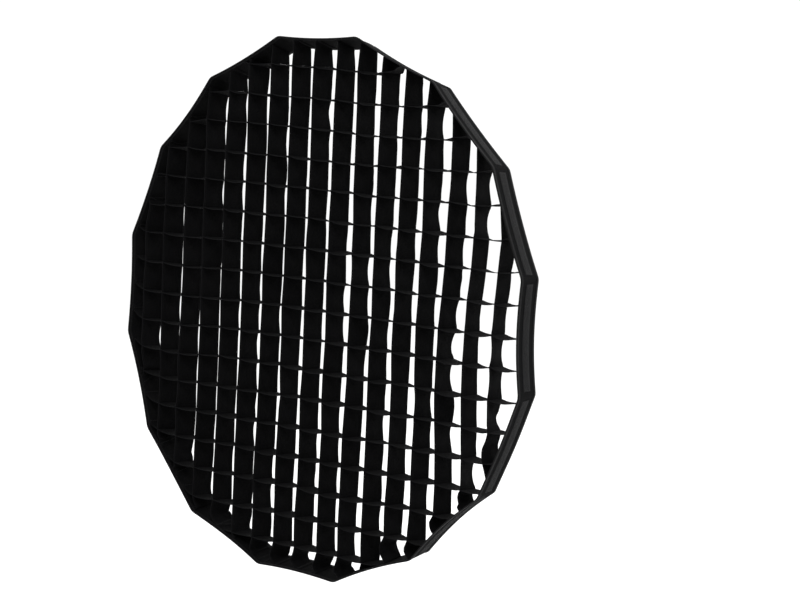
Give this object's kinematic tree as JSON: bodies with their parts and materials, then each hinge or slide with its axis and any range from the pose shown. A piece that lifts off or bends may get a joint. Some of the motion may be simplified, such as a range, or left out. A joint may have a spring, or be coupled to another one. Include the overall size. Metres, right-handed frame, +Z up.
{
  "type": "softbox honeycomb grid",
  "caption": "Black fabric egg-crate grid with a sixteen-sided border, held inside the lip of a deep softbox by hook tape to narrow its light.",
  "frame": {"origin": "centre of the grid, in the middle of its depth", "axes": "+X to the right and +Z up as seen from the front; the front, where light leaves, faces -Y"},
  "size_m": [0.886, 0.0532, 0.886],
  "materials": {
    "strip_cloth": "matte black coated nylon cloth, plain weave, hemmed edges",
    "border_cloth": "matte black nylon band cloth, doubled and sewn",
    "binding_tape": "black ribbed grosgrain tape, slight sheen",
    "hook_tape": "black nylon hook tape, rows of hooks"
  },
  "bodies": {
    "border": {"cross_strip_01": "strip_cloth", "cross_strip_02": "strip_cloth", "cross_strip_03": "strip_cloth", "cross_strip_04": "strip_cloth", "cross_strip_05": "strip_cloth", "cross_strip_06": "strip_cloth", "cross_strip_07": "strip_cloth", "cross_strip_08": "strip_cloth", "cross_strip_09": "strip_cloth", "cross_strip_10": "strip_cloth", "cross_strip_11": "strip_cloth", "cross_strip_12": "strip_cloth", "cross_strip_13": "strip_cloth", "cross_strip_14": "strip_cloth", "cross_strip_15": "strip_cloth", "cross_strip_16": "strip_cloth", "cross_strip_17": "strip_cloth", "border_band": "border_cloth", "front_binding": "binding_tape", "rear_binding": "binding_tape", "hook_tape_01": "hook_tape", "hook_tape_02": "hook_tape", "hook_tape_03": "hook_tape", "hook_tape_04": "hook_tape", "hook_tape_05": "hook_tape", "hook_tape_06": "hook_tape", "hook_tape_07": "hook_tape", "hook_tape_08": "hook_tape", "hook_tape_09": "hook_tape", "hook_tape_10": "hook_tape", "hook_tape_11": "hook_tape", "hook_tape_12": "hook_tape", "hook_tape_13": "hook_tape", "hook_tape_14": "hook_tape", "hook_tape_15": "hook_tape", "hook_tape_16": "hook_tape", "upright_strip_09": "strip_cloth"},
    "upright_01": {"upright_strip_01": "strip_cloth"},
    "upright_02": {"upright_strip_02": "strip_cloth"},
    "upright_03": {"upright_strip_03": "strip_cloth"},
    "upright_04": {"upright_strip_04": "strip_cloth"},
    "upright_05": {"upright_strip_05": "strip_cloth"},
    "upright_06": {"upright_strip_06": "strip_cloth"},
    "upright_07": {"upright_strip_07": "strip_cloth"},
    "upright_08": {"upright_strip_08": "strip_cloth"},
    "upright_10": {"upright_strip_10": "strip_cloth"},
    "upright_11": {"upright_strip_11": "strip_cloth"},
    "upright_12": {"upright_strip_12": "strip_cloth"},
    "upright_13": {"upright_strip_13": "strip_cloth"},
    "upright_14": {"upright_strip_14": "strip_cloth"},
    "upright_15": {"upright_strip_15": "strip_cloth"},
    "upright_16": {"upright_strip_16": "strip_cloth"},
    "upright_17": {"upright_strip_17": "strip_cloth"}
  },
  "joints": [
    {"name": "gather_01", "type": "slide", "parent": "border", "child": "upright_01", "axis": [1, 0, 0], "range_m": [0, 0.32], "deforming": ["cross_strip_01", "cross_strip_02", "cross_strip_03", "cross_strip_04", "cross_strip_05", "cross_strip_06", "cross_strip_07", "cross_strip_08", "cross_strip_09", "cross_strip_10", "cross_strip_11", "cross_strip_12", "cross_strip_13", "cross_strip_14", "cross_strip_15", "cross_strip_16", "cross_strip_17", "border_band", "front_binding", "rear_binding", "hook_tape_01", "hook_tape_02", "hook_tape_03", "hook_tape_04", "hook_tape_05", "hook_tape_06", "hook_tape_07", "hook_tape_08", "hook_tape_09", "hook_tape_10", "hook_tape_11", "hook_tape_12", "hook_tape_13", "hook_tape_14", "hook_tape_15", "hook_tape_16"]},
    {"name": "gather_02", "type": "slide", "parent": "border", "child": "upright_02", "axis": [1, 0, 0], "range_m": [0, 0.28]},
    {"name": "gather_03", "type": "slide", "parent": "border", "child": "upright_03", "axis": [1, 0, 0], "range_m": [0, 0.24]},
    {"name": "gather_04", "type": "slide", "parent": "border", "child": "upright_04", "axis": [1, 0, 0], "range_m": [0, 0.2]},
    {"name": "gather_05", "type": "slide", "parent": "border", "child": "upright_05", "axis": [1, 0, 0], "range_m": [0, 0.16]},
    {"name": "gather_06", "type": "slide", "parent": "border", "child": "upright_06", "axis": [1, 0, 0], "range_m": [0, 0.12]},
    {"name": "gather_07", "type": "slide", "parent": "border", "child": "upright_07", "axis": [1, 0, 0], "range_m": [0, 0.08]},
    {"name": "gather_08", "type": "slide", "parent": "border", "child": "upright_08", "axis": [1, 0, 0], "range_m": [0, 0.04]},
    {"name": "gather_10", "type": "slide", "parent": "border", "child": "upright_10", "axis": [1, 0, 0], "range_m": [-0.04, 0]},
    {"name": "gather_11", "type": "slide", "parent": "border", "child": "upright_11", "axis": [1, 0, 0], "range_m": [-0.08, 0]},
    {"name": "gather_12", "type": "slide", "parent": "border", "child": "upright_12", "axis": [1, 0, 0], "range_m": [-0.12, 0]},
    {"name": "gather_13", "type": "slide", "parent": "border", "child": "upright_13", "axis": [1, 0, 0], "range_m": [-0.16, 0]},
    {"name": "gather_14", "type": "slide", "parent": "border", "child": "upright_14", "axis": [1, 0, 0], "range_m": [-0.2, 0]},
    {"name": "gather_15", "type": "slide", "parent": "border", "child": "upright_15", "axis": [1, 0, 0], "range_m": [-0.24, 0]},
    {"name": "gather_16", "type": "slide", "parent": "border", "child": "upright_16", "axis": [1, 0, 0], "range_m": [-0.28, 0]},
    {"name": "gather_17", "type": "slide", "parent": "border", "child": "upright_17", "axis": [1, 0, 0], "range_m": [-0.32, 0]}
  ],
  "couplings": [
    {"joint": "gather_02", "follows": "gather_01", "ratio": 0.875},
    {"joint": "gather_03", "follows": "gather_01", "ratio": 0.75},
    {"joint": "gather_04", "follows": "gather_01", "ratio": 0.625},
    {"joint": "gather_05", "follows": "gather_01", "ratio": 0.5},
    {"joint": "gather_06", "follows": "gather_01", "ratio": 0.375},
    {"joint": "gather_07", "follows": "gather_01", "ratio": 0.25},
    {"joint": "gather_08", "follows": "gather_01", "ratio": 0.125},
    {"joint": "gather_10", "follows": "gather_01", "ratio": -0.125},
    {"joint": "gather_11", "follows": "gather_01", "ratio": -0.25},
    {"joint": "gather_12", "follows": "gather_01", "ratio": -0.375},
    {"joint": "gather_13", "follows": "gather_01", "ratio": -0.5},
    {"joint": "gather_14", "follows": "gather_01", "ratio": -0.625},
    {"joint": "gather_15", "follows": "gather_01", "ratio": -0.75},
    {"joint": "gather_16", "follows": "gather_01", "ratio": -0.875},
    {"joint": "gather_17", "follows": "gather_01", "ratio": -1}
  ]
}
